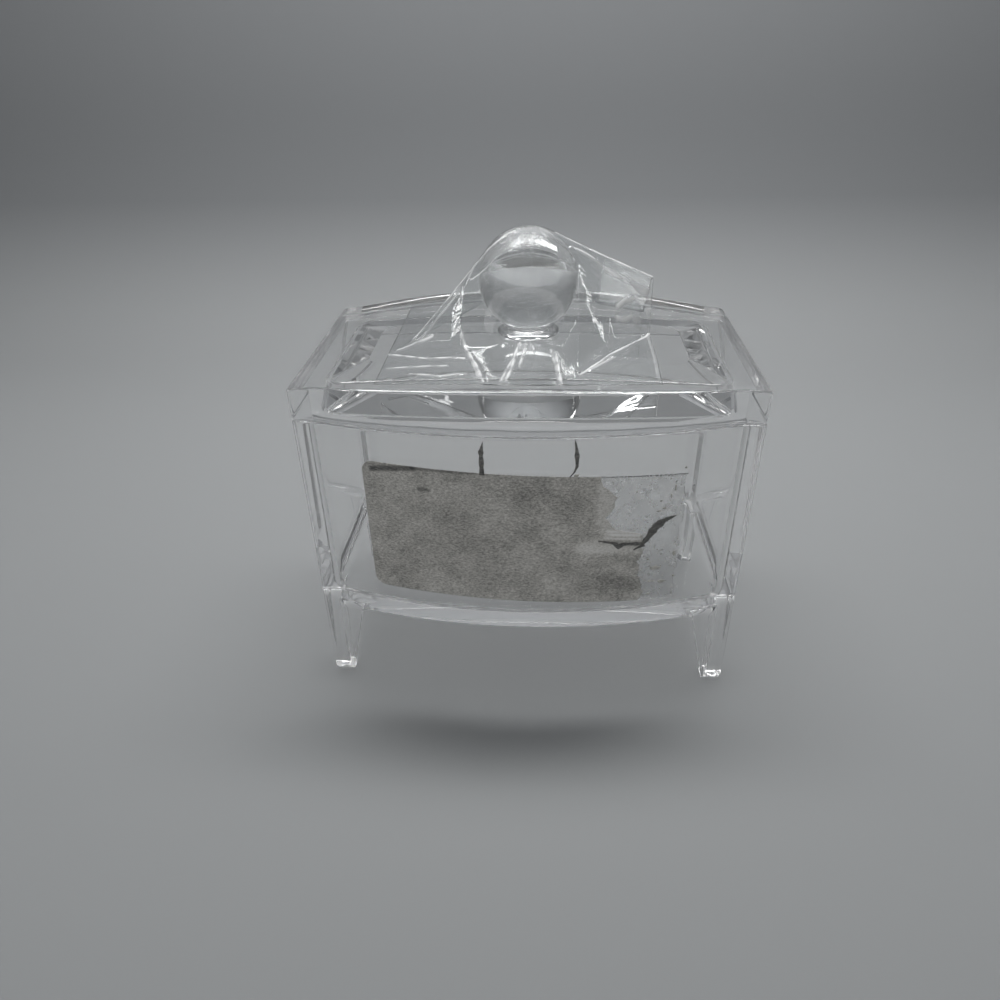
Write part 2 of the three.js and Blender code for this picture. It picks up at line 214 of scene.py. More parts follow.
CREASES = [  # height of each crease, how white its painted glint is, and the points along it, in millimetres
    (0.4, 0.9, [(-16.1, -15.7), (-13.7, -21.8), (-11.3, -27.9), (-9.5, -34.4)]),
    (0.3, 0.6, [(-14.0, -21.5), (-12.2, -26.8), (-10.4, -33.1)]),
    (0.4, 1.0, [(-1.7, -14.9), (-2.4, -18.8), (-3.3, -28.2), (-4.4, -34.7)]),
    (0.3, 0.7, [(-0.2, -15.0), (-0.7, -19.7), (-1.5, -27.3)]),
    (0.3, 0.7, [(-1.9, -16.4), (-3.0, -22.9), (-5.6, -34.6)]),
    (0.3, 0.5, [(1.2, -15.0), (1.9, -19.7)]),
    (0.4, 0.9, [(7.0, -20.7), (7.6, -28.4), (8.2, -35.5)]),
    (0.3, 0.5, [(5.8, -19.3), (7.0, -27.1), (7.6, -34.0)]),
    (0.4, 0.9, [(12.4, -31.8), (17.7, -24.7), (23.9, -15.8), (31.0, -6.4)]),
    (0.3, 0.5, [(14.7, -29.4), (20.9, -22.5)]),
    (0.9, 1.0, [(22.1, -7.9), (24.5, -6.1)]),
    (0.9, 0.9, [(22.1, -9.3), (28.3, -6.1)]),
    (0.6, 0.6, [(22.7, -7.3), (26.3, -5.4)]),
    (0.4, 1.0, [(6.7, -0.1), (15.0, -1.6), (31.0, -2.6)]),
    (0.4, 0.7, [(10.4, -3.9), (31.0, -4.4)]),
    (0.3, 0.9, [(-3.3, -2.2), (-9.5, -3.9), (-13.4, -4.6), (-15.2, -7.1)]),
    (0.4, 0.9, [(-10.1, -3.9), (-15.5, -4.8), (-22.6, -6.8), (-29.1, -9.1)]),
    (0.3, 0.4, [(-16.9, -6.6), (-22.3, -8.2), (-26.7, -10.4)]),
    (0.3, 0.9, [(-32.9, -12.6), (-28.5, -10.8), (-23.8, -11.4)]),
    (0.3, 0.9, [(-35.0, -14.3), (-24.3, -21.7), (-14.6, -24.0)]),
    (0.2, 0.7, [(-33.2, -24.0), (-26.4, -25.4), (-18.7, -26.7)]),
    (0.3, 0.8, [(-27.0, -29.0), (-19.6, -31.5), (-14.0, -30.9)]),
    (0.3, 0.3, [(30.4, -4.0), (30.3, -31.0)]),
]

# Camera, as it stood for the photograph
CAMERA_PLACE = Vector((4.361 * MM, -192.078 * MM, 161.877 * MM))
CAMERA_PITCH = -0.560803
CAMERA_YAW = -0.0669232
CAMERA_ROLL = -0.0220954
CAMERA_SENSOR = 36
CAMERA_LENS = 0.751 * CAMERA_SENSOR
CAMERA_NEAR = 10 * MM

# Stage
SWEEP_START = 190 * MM  # from the middle of the holder back to where the floor turns up
SWEEP_LENGTH = 220 * MM
SWEEP_STEPS = 60
BACKDROP_TOP = 0.45
BACKDROP_SHADE_HEIGHT = 70 * MM  # height at which the painted shade up the backdrop is full
FLOOR_DROP = 0.05 * MM  # keeps the floor off the flat feet, which would lie in its plane
FLOOR_ROWS = [-1.5, -0.4]  # places along Y of the rows in front of the sweep
FLOOR_COLUMNS = np.linspace(-1.6, 1.6, 9)
# Tones of the room from level to overhead
ROOM_TONES = [(0.0, "#6A6C6E"), (0.3, "#707274"), (0.6, "#767879"), (1.0, "#828486")]
ROOM_FRONT = "#48494B"
ROOM_FRONT_FROM = -0.35  # direction along Y at which the room starts to get dim
ROOM_FRONT_TO = -0.8
LAMPS = [  # name, place, point that it faces, width, length and power in watts
    ("overhead", (0.01, 0.105, 0.46), (0, 0.25, 0), 0.42, 0.1, 1.7),
    ("front_fill", (-0.2, -0.95, 0.36), (0, 0, 0.05), 1.6, 0.66, 2.6),
    ("edge_strip", (-0.45, 0.1, 0.3), (0, 0, 0.06), 0.012, 0.36, 0.1),
    ("edge_strip", (0.45, 0.1, 0.3), (0, 0, 0.06), 0.012, 0.36, 0.1),
]
LIGHT_BOUNCES = 32  # enough for light that runs along inside the clear walls

HALF_DEPTH = REACH - BOW
HALF_CHORD = HALF_WIDTH - POST_FACE
BOW_RADIUS = (HALF_CHORD ** 2 + BOW ** 2) / (2 * BOW)
BOW_CENTRE = BOW_RADIUS - REACH
LID_Z = RIM_Z + SEAT_GAP
FLOOR_Z = LEG_HEIGHT + FLOOR

# Points round an outline: along the front from post to post, round a corner and along a side
FRONT_COUNTS = [18, 50, 66, 50, 18]
FRONT_DENSE = 38 * MM
SIDE_COUNTS = [52, 20, 52]
SIDE_DENSE = 15 * MM
CORNER_COUNT = 12
ROUND_STEPS = 10

# Skins
EDGE_HOLD = 0.35 * MM  # from the end of a stretch to the ring that keeps the round there tight
EDGE_HOLD_SHARE = 0.3  # most of a stretch that it takes
DRAWN_IN = [0.9, 0.9, 1]  # shares of its width, depth and height that a ring keeps when drawn in
MERGE_WITHIN = 1e-7
SHARP_ANGLE = math.radians(14)
OPENING_STEPS = 12  # along the rounded corner of the cut between two legs
OPENING_SLIDES = 41  # places at which its edge is tried when it is moved into the wall


def spaced(stops, counts):
    """Values that run evenly from stop to stop, in as many steps as each count, without the last."""
    runs = zip(stops, stops[1:], counts)
    return np.concatenate([np.linspace(start, end, count, endpoint=False) for start, end, count in runs])


def arc(x, y, radius, start, end, count):
    """Points of a circle about (x, y) from one angle towards another, without the last."""
    angle = np.linspace(start, end, count, endpoint=False)
    return np.column_stack([x + radius * np.cos(angle), y + radius * np.sin(angle)])


def outline(left_corner, front, right_corner, side):
    """Closed plan: its front half from the left corner to the end of the right side, then the same half
    turned by 180 degrees."""
    half = np.vstack([left_corner, front, right_corner, side])
    return np.vstack([half, -half])


SIDE_END = HALF_DEPTH - CORNER_ROUND
FRONT_END = HALF_WIDTH - CORNER_ROUND
FRONT_X = spaced([-FRONT_END, -HALF_CHORD, -FRONT_DENSE, FRONT_DENSE, HALF_CHORD, FRONT_END], FRONT_COUNTS)
SIDE_Y = spaced([-SIDE_END, -SIDE_DENSE, SIDE_DENSE, SIDE_END], SIDE_COUNTS)


def outside_plan(inset):
    """Plan of the outside, moved in by an inset: flat posts at the corners and a circle's arc between
    them."""
    radius = BOW_RADIUS - inset
    face = HALF_DEPTH - inset
    chord = math.sqrt(radius ** 2 - (BOW_CENTRE + face) ** 2)
    end_x = FRONT_END - inset
    end_y = SIDE_END - inset
    stops = [-FRONT_END, -HALF_CHORD, HALF_CHORD, FRONT_END]
    x = np.interp(FRONT_X, stops, [-end_x, -chord, chord, end_x])
    bow = BOW_CENTRE - np.sqrt(radius ** 2 - np.minimum(np.abs(x), chord) ** 2)
    front = np.column_stack([x, np.where(np.abs(x) < chord, bow, -face)])
    y = SIDE_Y * end_y / SIDE_END
    side = np.column_stack([np.full_like(y, HALF_WIDTH - inset), y])
    left = arc(-end_x, -end_y, CORNER_ROUND, -math.pi, -math.pi / 2, CORNER_COUNT)
    right = arc(end_x, -end_y, CORNER_ROUND, -math.pi / 2, 0, CORNER_COUNT)
    return outline(left, front, right, side)


def hollow_plan(inset, rounding):
    """Plan of a hollow inside the outside: straight sides, a front that follows the bow, and corner circles
    that touch both. Points on the front keep the outside's x and points on the sides its y, up to the
    corner's diagonal, so that cuts through the wall stay square to it."""
    radius = BOW_RADIUS - inset
    centre_x = HALF_WIDTH - inset - rounding
    centre_y = math.sqrt((radius - rounding) ** 2 - centre_x ** 2) - BOW_CENTRE
    touch_x = radius * centre_x / (radius - rounding)
    diagonal_x = centre_x + rounding * math.sqrt(0.5)
    diagonal_y = centre_y + rounding * math.sqrt(0.5)
    x = np.clip(FRONT_X, -diagonal_x, diagonal_x)
    reach = np.clip(np.abs(x) - centre_x, 0, rounding)
    corner = -centre_y - np.sqrt(rounding ** 2 - reach ** 2)
    bow = BOW_CENTRE - np.sqrt(radius ** 2 - x ** 2)
    front = np.column_stack([x, np.where(np.abs(x) < touch_x, bow, corner)])
    y = np.clip(SIDE_Y, -diagonal_y, diagonal_y)
    past = np.clip(np.abs(y) - centre_y, 0, rounding)
    side = np.column_stack([centre_x + np.sqrt(rounding ** 2 - past ** 2), y])
    right = np.tile([diagonal_x, -diagonal_y], (CORNER_COUNT, 1))
    return outline(right * [-1, 1], front, right, side)


def panel_plan(inset, rounding):
    """Plan of a rectangle with round corners, inset from the sides and the post faces."""
    half_width = HALF_WIDTH - inset - rounding
    half_depth = HALF_DEPTH - inset - rounding
    x = FRONT_X * half_width / FRONT_END
    y = SIDE_Y * half_depth / SIDE_END
    front = np.column_stack([x, np.full_like(x, -half_depth - rounding)])
    side = np.column_stack([np.full_like(y, half_width + rounding), y])
    left = arc(-half_width, -half_depth, rounding, -math.pi, -math.pi / 2, CORNER_COUNT)
    right = arc(half_width, -half_depth, rounding, -math.pi / 2, 0, CORNER_COUNT)
    return outline(left, front, right, side)


def ring(plan, height):
    """Ring of a plan at a height, which is a number or one value for each point."""
    return np.column_stack([plan, np.broadcast_to(height, len(plan))])


def quarter(radius):
    """Insets and rises of a quarter round, from the flat face, where the inset is the radius, to the
    wall."""
    angle = np.linspace(0, math.pi / 2, ROUND_STEPS + 1)
    return zip(radius * (1 - np.sin(angle)), radius * (1 - np.cos(angle)))


def bridge(first, last, steps=1):
    """Rings between two rings, evenly spaced, with one more close to each end so that the rounds there stay
    tight and the stretch between them flat."""
    length = np.linalg.norm(last - first, axis=1, keepdims=True)
    near = np.minimum(EDGE_HOLD / np.maximum(length, EDGE_HOLD), EDGE_HOLD_SHARE)
    shares = np.linspace(0, 1, steps + 1)[1:-1]
    inner = [first + (near + share * (1 - 2 * near)) * (last - first) for share in shares]
    return [first + near * (last - first), *inner, last - near * (last - first)]


def solid_skin(name, rings):
    """Closed mesh through a stack of rings that goes from the middle of the underside out, up and in again
    to the middle of the top, with a fan to a middle point at each end. Points that fall together are
    merged."""
    rings = np.array(rings)
    layers, count = rings.shape[:2]
    points = np.vstack([rings.reshape(-1, 3), rings[0].mean(0), rings[-1].mean(0)])
    here = np.arange(count)
    after = (here + 1) % count
    base = np.arange(layers - 1)[:, None] * count
    above = base + count
    quads = np.stack([base + here, base + after, above + after, above + here], -1).reshape(-1, 4)
    under = np.column_stack([after, here, np.full(count, layers * count)])
    last = (layers - 1) * count
    over = np.column_stack([last + here, last + after, np.full(count, layers * count + 1)])
    mesh = bpy.data.meshes.new(name)
    mesh.from_pydata(points.tolist(), [], quads.tolist() + under.tolist() + over.tolist())
    work = bmesh.new()
    work.from_mesh(mesh)
    bmesh.ops.remove_doubles(work, verts=work.verts, dist=MERGE_WITHIN)
    bmesh.ops.dissolve_degenerate(work, dist=MERGE_WITHIN, edges=work.edges)
    work.to_mesh(mesh)
    work.free()
    mesh.shade_smooth()
    mesh.set_sharp_from_angle(angle=SHARP_ANGLE)
    return mesh


def grid_faces(rows, columns):
    """Quads of a grid of points that is stored row by row."""
    corner = (np.arange(rows - 1)[:, None] * columns + np.arange(columns - 1)).reshape(-1, 1)
    return corner + np.array([0, 1, columns + 1, columns])


def sheet_skin(name, grids):
    """One mesh of several grids of points, each of shape rows by columns by 3."""
    points, faces, start = [], [], 0
    for grid in grids:
        rows, columns = grid.shape[:2]
        points.append(grid.reshape(-1, 3))
        faces.append(grid_faces(rows, columns) + start)
        start += rows * columns
    mesh = bpy.data.meshes.new(name)
    mesh.from_pydata(np.vstack(points).tolist(), [], np.vstack(faces).tolist())
    mesh.shade_smooth()
    return mesh


def place(name, mesh, body, slot, material, *nodes):
    """Object of a mesh in its material, which moves with a body and stands for the nodes named."""
    piece = bpy.data.objects.new(name, mesh)
    bpy.context.scene.collection.objects.link(piece)
    mesh.materials.append(material)
    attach(piece, body)
    if nodes:
        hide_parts(*nodes)
    return piece


def thicken(piece, thickness):
    """Gives a sheet its thickness, evenly to both sides."""
    wall = piece.modifiers.new("thickness", "SOLIDIFY")
    wall.thickness = thickness
    wall.offset = 0


# Materials


def linear(code):
    """Linear colour of an sRGB hex value."""
    channels = np.array([int(code[i:i + 2], 16) for i in (1, 3, 5)]) / 255
    return (*np.where(channels <= 0.04045, channels / 12.92, ((channels + 0.055) / 1.055) ** 2.4), 1)


def node(tree, kind, values={}, links={}, **settings):
    """Adds a node of a kind with its settings, socket values and links from other nodes' sockets."""
    made = tree.nodes.new(kind)
    for name, value in settings.items():
        setattr(made, name, value)
    for socket, value in values.items():
        made.inputs[socket].default_value = value
    for socket, source in links.items():
        tree.links.new(source, made.inputs[socket])
    return made


def material(name):
    """New material with its node tree and its shader."""
    made = bpy.data.materials.new(name)
    made.use_nodes = True
    return made, made.node_tree, made.node_tree.nodes["Principled BSDF"]


def ramp(made, *stops):
    """Sets a colour ramp's stops, each a position and a colour."""
    elements = made.color_ramp.elements
    while len(elements) < len(stops):
        elements.new(0.5)
    for element, (position, colour) in zip(elements, stops):
        element.position = position
        element.color = colour
    return made


def let_light_through(tree, shader, tint):
    """Lets lamp light and light from matt surfaces pass straight through a clear material, a little dimmed
    at each face, as the real one does, so that what lies behind it and under it is lit."""
    path = node(tree, "ShaderNodeLightPath")
    passing = node(tree, "ShaderNodeBsdfTransparent", {"Color": tint})
    lamps = node(tree, "ShaderNodeMixShader", {},
                 {0: path.outputs["Is Shadow Ray"], 1: shader.outputs["BSDF"], 2: passing.outputs["BSDF"]})
    matt = node(tree, "ShaderNodeMixShader", {},
                {0: path.outputs["Is Diffuse Ray"], 1: lamps.outputs["Shader"], 2: passing.outputs["BSDF"]})
    tree.links.new(matt.outputs["Shader"], tree.nodes["Material Output"].inputs["Surface"])


def clear_acrylic():
    """Injection-moulded clear acrylic: water-clear, with a mirror gloss, slow flow waves from the mould and
    a few dull rubs from handling."""
    made, tree, shader = material("moulded_clear_acrylic")
    place_in = node(tree, "ShaderNodeTexCoord")
    waves = node(tree, "ShaderNodeTexNoise", {"Scale": 1 / (14 * MM), "Detail": 1.0},
                 {"Vector": place_in.outputs["Object"]})
    bump = node(tree, "ShaderNodeBump", {"Strength": 0.25, "Distance": 0.05 * MM},
                {"Height": waves.outputs["Fac"]})
    rubs = node(tree, "ShaderNodeTexNoise", {"Scale": 1 / (3 * MM), "Detail": 5.0, "Roughness": 0.65},
                {"Vector": place_in.outputs["Object"]})
    dull = node(tree, "ShaderNodeMapRange",
                {"From Min": 0.62, "From Max": 0.8, "To Min": 0.0, "To Max": 0.12},
                {"Value": rubs.outputs["Fac"]})
    shader.inputs["Base Color"].default_value = linear("#FDFDFD")
    shader.inputs["Transmission Weight"].default_value = 1.0
    shader.inputs["IOR"].default_value = 1.49
    tree.links.new(dull.outputs["Result"], shader.inputs["Roughness"])
    tree.links.new(bump.outputs["Normal"], shader.inputs["Normal"])
    let_light_through(tree, shader, linear("#EEEEEE"))
    return made


def torn_paper():
    """Label paper with its face torn off: grey pulp, matt, mottled where more of it came away, with short
    fibres that lie along the sheet and a speckle of loose ones. They are drawn in bunches of 0.7 mm, because
    single fibres would be too fine to see. Marks on the sheet shift its tone."""
    made, tree, shader = material("torn_label_paper")
    place_in = node(tree, "ShaderNodeTexCoord")
    clouds = node(tree, "ShaderNodeTexNoise", {"Scale": 1 / (9 * MM), "Detail": 4.0, "Roughness": 0.6},
                  {"Vector": place_in.outputs["Object"]})
    along = node(tree, "ShaderNodeMapping", {"Scale": (1, 1, 2)}, {"Vector": place_in.outputs["Object"]})
    fibres = node(tree, "ShaderNodeTexNoise", {"Scale": 1 / (0.7 * MM), "Detail": 6.0, "Roughness": 0.8},
                  {"Vector": along.outputs["Vector"]})
    blend = node(tree, "ShaderNodeMix", {"Factor": 0.73},
                 {"A": clouds.outputs["Fac"], "B": fibres.outputs["Fac"]})
    mark = node(tree, "ShaderNodeAttribute", attribute_name="tone")
    marked = node(tree, "ShaderNodeMath", {1: 0.3}, {0: mark.outputs["Fac"], 2: blend.outputs["Result"]},
                  operation="MULTIPLY_ADD")
    tones = ramp(node(tree, "ShaderNodeValToRGB", {}, {"Fac": marked.outputs["Value"]}),
                 (0.26, linear("#505151")), (0.42, linear("#8E8D89")), (0.5, linear("#B6B4AF")),
                 (0.58, linear("#D4D2CD")), (0.74, linear("#EEEDEB")))
    bump = node(tree, "ShaderNodeBump", {"Strength": 0.6, "Distance": 0.12 * MM},
                {"Height": fibres.outputs["Fac"]})
    shader.inputs["Roughness"].default_value = 0.9
    shader.inputs["IOR"].default_value = 1.5
    tree.links.new(tones.outputs["Color"], shader.inputs["Base Color"])
    tree.links.new(bump.outputs["Normal"], shader.inputs["Normal"])
    return made


def dried_glue():
    """Dried rubber glue left by the label: clear but cloudy, so what is behind it blurs, with a lumpy
    skin."""
    made, tree, shader = material("dried_label_glue")
    place_in = node(tree, "ShaderNodeTexCoord")
    clouds = node(tree, "ShaderNodeTexNoise", {"Scale": 1 / (4 * MM), "Detail": 5.0, "Roughness": 0.7},
                  {"Vector": place_in.outputs["Object"]})
    dull = node(tree, "ShaderNodeMapRange",
                {"From Min": 0.3, "From Max": 0.7, "To Min": 0.05, "To Max": 0.4},
                {"Value": clouds.outputs["Fac"]})
    lumps = node(tree, "ShaderNodeTexNoise", {"Scale": 1 / (1.2 * MM), "Detail": 4.0},
                 {"Vector": place_in.outputs["Object"]})
    bump = node(tree, "ShaderNodeBump", {"Strength": 0.5, "Distance": 0.1 * MM},
                {"Height": lumps.outputs["Fac"]})
    shader.inputs["Base Color"].default_value = linear("#F1F1F1")
    shader.inputs["Transmission Weight"].default_value = 1.0
    shader.inputs["IOR"].default_value = 1.47
    tree.links.new(dull.outputs["Result"], shader.inputs["Roughness"])
    tree.links.new(bump.outputs["Normal"], shader.inputs["Normal"])
    let_light_through(tree, shader, linear("#F4F4F4"))
    return made


def packing_film():
    """Cast polypropylene packing film: clear and glossy, slightly wavy, finely crinkled where it is pressed
    on the ball, and painted white along its creases and in specks on the ball: painted glints."""
    made, tree, shader = material("clear_packing_film")
    place_in = node(tree, "ShaderNodeTexCoord")
    waves = node(tree, "ShaderNodeTexNoise", {"Scale": 1 / (4 * MM), "Detail": 3.0},
                 {"Vector": place_in.outputs["Object"]})
    crinkle = node(tree, "ShaderNodeTexNoise", {"Scale": 1 / (0.7 * MM), "Detail": 2.0},
                   {"Vector": place_in.outputs["Object"]})
    top = (-2 * MM, -3 * MM, BALL_Z + BALL_RADIUS)
    from_top = node(tree, "ShaderNodeVectorMath", {1: top}, {0: place_in.outputs["Object"]},
                    operation="DISTANCE")
    pressed = node(tree, "ShaderNodeMapRange",
                   {"From Min": 9 * MM, "From Max": 5 * MM, "To Min": 0.0, "To Max": 3.0},
                   {"Value": from_top.outputs["Value"]})
    height = node(tree, "ShaderNodeMath", {},
                  {0: crinkle.outputs["Fac"], 1: pressed.outputs["Result"], 2: waves.outputs["Fac"]},
                  operation="MULTIPLY_ADD")
    bump = node(tree, "ShaderNodeBump", {"Strength": 0.3, "Distance": 0.25 * MM},
                {"Height": height.outputs["Value"]})
    # Painted glints: white, less clear film along the creases and in specks over the ball's top
    fold_glint = node(tree, "ShaderNodeAttribute", attribute_name="fold_glint")
    specks = node(tree, "ShaderNodeMapRange", {"From Min": 0.52, "From Max": 0.66, "To Max": 0.2},
                  {"Value": crinkle.outputs["Fac"]})
    white = node(tree, "ShaderNodeMath", {},
                 {0: specks.outputs["Result"], 1: pressed.outputs["Result"], 2: fold_glint.outputs["Fac"]},
                 operation="MULTIPLY_ADD")
    clear = node(tree, "ShaderNodeMapRange", {"To Min": 1.0, "To Max": 0.15},
                 {"Value": white.outputs["Value"]})
    # The film's colour, which is also the white of its painted glints
    shader.inputs["Base Color"].default_value = linear("#FBFCFC")
    shader.inputs["IOR"].default_value = 1.49
    shader.inputs["Roughness"].default_value = 0.03
    tree.links.new(clear.outputs["Result"], shader.inputs["Transmission Weight"])
    tree.links.new(bump.outputs["Normal"], shader.inputs["Normal"])
    let_light_through(tree, shader, linear("#FCFCFC"))
    return made


def pale_paper():
    """Matt pale grey paper for the floor, with painted shade that makes it darker up the backdrop."""
    made, tree, shader = material("pale_backdrop_paper")
    place_in = node(tree, "ShaderNodeTexCoord")
    height = node(tree, "ShaderNodeSeparateXYZ", {}, {"Vector": place_in.outputs["Object"]})
    up = node(tree, "ShaderNodeMapRange", {"From Min": 0.0, "From Max": BACKDROP_SHADE_HEIGHT},
              {"Value": height.outputs["Z"]})
    # Painted shade: darker up the backdrop, which gets less light than the floor
    tones = ramp(node(tree, "ShaderNodeValToRGB", {}, {"Fac": up.outputs["Result"]}),
                 (0.0, linear("#A5A7A8")), (1.0, linear("#828486")))
    shader.inputs["Roughness"].default_value = 0.75
    tree.links.new(tones.outputs["Color"], shader.inputs["Base Color"])
    return made


# Pieces


def opening(across, half_span, depth):
    """Height of the cut between two legs at a place across it: a trapezium that narrows upwards, its upper
    corner rounded by a parabola, moved into the wall by a depth measured square to its edge."""
    lean = (LEG_TOP - LEG_FOOT) / LEG_HEIGHT
    top = half_span - LEG_TOP
    share = np.linspace(0, 1, OPENING_STEPS + 1)
    curve_x = (1 - share) ** 2 * (top - LEG_ROUND) + 2 * share * (1 - share) * top
    curve_x = curve_x + share ** 2 * (top + lean * LEG_ROUND)
    curve_z = LEG_HEIGHT - LEG_ROUND * share ** 2
    edge_x = np.concatenate([[0], curve_x, [half_span - LEG_FOOT]])
    edge_z = np.concatenate([[LEG_HEIGHT], curve_z, [0]])
    slide = np.linspace(-depth, depth, OPENING_SLIDES)
    rise = np.sqrt(np.maximum(depth ** 2 - slide ** 2, 0))
    return (np.interp(np.abs(across)[:, None] + slide, edge_x, edge_z) + rise).max(1)


def foot_height(plan, depth=0):
    """Lowest height of the wall over each point of a plan: the higher of the cuts in the two directions."""
    return np.maximum(opening(plan[:, 0], HALF_WIDTH, depth), opening(plan[:, 1], HALF_DEPTH, depth))


def box_mesh():
    """Box: rings from the middle of the floor's underside along the inside of the legs, round their feet,
    up the bowed outside, over the rim and down the hollow to the floor."""
    rings = []
    for inset, rise in quarter(LEG_SWEEP):
        plan = hollow_plan(LEG_WALL + inset, INNER_ROUND - inset)
        rings.append(ring(plan, np.maximum(LEG_HEIGHT - rise, foot_height(plan))))
    inner_foot = hollow_plan(LEG_WALL, INNER_ROUND)
    last = ring(inner_foot, foot_height(inner_foot))
    rings += [*bridge(rings[-1], last, steps=4), last]
    rounds = []
    for inset, rise in quarter(EDGE_ROUND):
        plan = outside_plan(inset)
        rounds.append(ring(plan, foot_height(plan, rise)))
    rings += [*bridge(last, rounds[0]), *rounds]
    rim = [ring(outside_plan(inset), RIM_Z - rise) for inset, rise in quarter(EDGE_ROUND)][::-1]
    rings += [*bridge(rings[-1], rim[0], steps=7), *rim]
    mouth = [ring(hollow_plan(WALL - inset, INNER_ROUND + inset), RIM_Z - rise)
             for inset, rise in quarter(FINE_ROUND)]
    rings += [*bridge(rim[-1], mouth[0]), *mouth]
    sweep = [ring(hollow_plan(WALL + inset, INNER_ROUND - inset), FLOOR_Z + rise)
             for inset, rise in quarter(FLOOR_ROUND)][::-1]
    rings += [*bridge(mouth[-1], sweep[0], steps=5), *sweep]
    return solid_skin("box_moulding", [rings[0] * DRAWN_IN, *rings, sweep[-1] * DRAWN_IN])


def lid_top(x):
    """Height of the lid's arched top: a parabola along the width."""
    return LID_TOP_Z - LID_ARCH * (x / HALF_WIDTH) ** 2


def lid_mesh():
    """Lid: rings from the middle of the recess down its bevel, round the lip, out under the edge, up the
    bowed side and over the arched top to its middle."""
    mouth = LID_MARGIN + LIP
    mouth_round = LIP_ROUND - LIP
    bevel = []
    for share in np.linspace(0, 1, BEVEL_STEPS + 1):
        corner = BEVEL_ROUND + (mouth_round - BEVEL_ROUND) * share
        plan = panel_plan(mouth + BEVEL * (1 - share), corner)
        bevel.append(ring(plan, LID_Z + RECESS_DEPTH * (1 - share)))
    lip_inner = [ring(panel_plan(mouth - inset, mouth_round + inset), LIP_Z + rise)
                 for inset, rise in quarter(FINE_ROUND)][::-1]
    lip_outer = [ring(panel_plan(LID_MARGIN + inset, LIP_ROUND - inset), LIP_Z + rise)
                 for inset, rise in quarter(FINE_ROUND)]
    lip_root = ring(panel_plan(LID_MARGIN, LIP_ROUND), LID_Z)
    under = [ring(outside_plan(inset), LID_Z + rise) for inset, rise in quarter(EDGE_ROUND)]
    over = []
    for inset, rise in quarter(EDGE_ROUND):
        plan = outside_plan(inset)
        over.append(ring(plan, lid_top(plan[:, 0]) - rise))
    over = over[::-1]
    rings = [bevel[0] * DRAWN_IN, *bevel]
    rings += [*bridge(bevel[-1], lip_inner[0]), *lip_inner]
    rings += [*bridge(lip_inner[-1], lip_outer[0]), *lip_outer]
    rings += [*bridge(lip_outer[-1], lip_root), lip_root]
    rings += [*bridge(lip_root, under[0]), *under]
    rings += [*bridge(under[-1], over[0], steps=3), *over]
    rim = over[-1]
    for share in LID_TOP_RINGS:
        plan = rim[:, :2] * share
        rings.append(ring(plan, lid_top(plan[:, 0])))
    return solid_skin("lid_moulding", rings)


def knob_mesh():
    """Knob: a profile turned about the upright axis, with a foot, a flare that is a parabola up the neck,
    and a circle's arc for the ball."""
    foot = LID_TOP_Z + SEAT_GAP
    collar = COLLAR / 2
    meet = math.asin(NECK / 2 / BALL_RADIUS)
    meet_z = BALL_Z - BALL_RADIUS * math.cos(meet)
    start_z = foot + COLLAR_EDGE
    share = np.linspace(0, 1, FLARE_STEPS + 1)
    waist = NECK / 2 - COLLAR_EDGE
    flare_x = (1 - share) ** 2 * collar + 2 * share * (1 - share) * waist + share ** 2 * NECK / 2
    flare_z = (1 - share) ** 2 * start_z + share * (1 - share) * (start_z + meet_z) + share ** 2 * meet_z
    angle = np.linspace(meet, math.pi - BALL_POLE, BALL_STEPS + 1)[1:]
    edge = np.linspace(0, math.pi / 2, FOOT_STEPS + 1)
    radius = np.concatenate([[collar * FOOT_RING, collar - 2 * FOOT_ROUND],
                             collar - FOOT_ROUND + FOOT_ROUND * np.sin(edge),
                             flare_x, BALL_RADIUS * np.sin(angle)])
    height = np.concatenate([[foot, foot], foot + FOOT_ROUND - FOOT_ROUND * np.cos(edge),
                             flare_z, BALL_Z - BALL_RADIUS * np.cos(angle)])
    turn = np.linspace(0, 2 * math.pi, KNOB_SIDES, endpoint=False)
    x = radius[:, None] * np.cos(turn)
    y = radius[:, None] * np.sin(turn)
    z = np.broadcast_to(height[:, None], x.shape)
    return solid_skin("knob_moulding", np.stack([x, y, z], -1))


def on_front_wall(x, z, gap):
    """Points on the bowed front wall, or a gap in front of it, at places along it and heights."""
    y = BOW_CENTRE - np.sqrt((BOW_RADIUS + gap) ** 2 - x ** 2)
    return np.stack([x, y, z], -1)


def ragged(values, length, size, seed):
    """Uneven offsets along an edge: sines of falling length and height with seeded phases."""
    draw = np.random.default_rng(seed)
    turn = 2 * math.pi
    waves = [size / k ** RAGGED_FALL * np.sin(turn * k * values / length + draw.uniform(0, turn))
             for k in RAGGED_WAVES]
    return np.sum(waves, axis=0)


def line_distance(x, y, points):
    """Distance of every place from the nearest stretch of a line through a few points."""
    nearest = np.full_like(x, np.inf)
    for (ax, ay), (bx, by) in zip(points, points[1:]):
        along = ((x - ax) * (bx - ax) + (y - ay) * (by - ay)) / ((bx - ax) ** 2 + (by - ay) ** 2)
        along = np.clip(along, 0, 1)
        nearest = np.minimum(nearest, np.hypot(x - ax - along * (bx - ax), y - ay - along * (by - ay)))
    return nearest


def tear_x(height):
    """Where the label tore, at heights before its tilt: straight from point to point, with a ragged
    edge."""
    line = np.interp(height, TEAR[:, 1] - LABEL_TILT * TEAR[:, 0], TEAR[:, 0])
    return line + ragged(height, TEAR_WAVE, TEAR_RAGGED, seed=3)


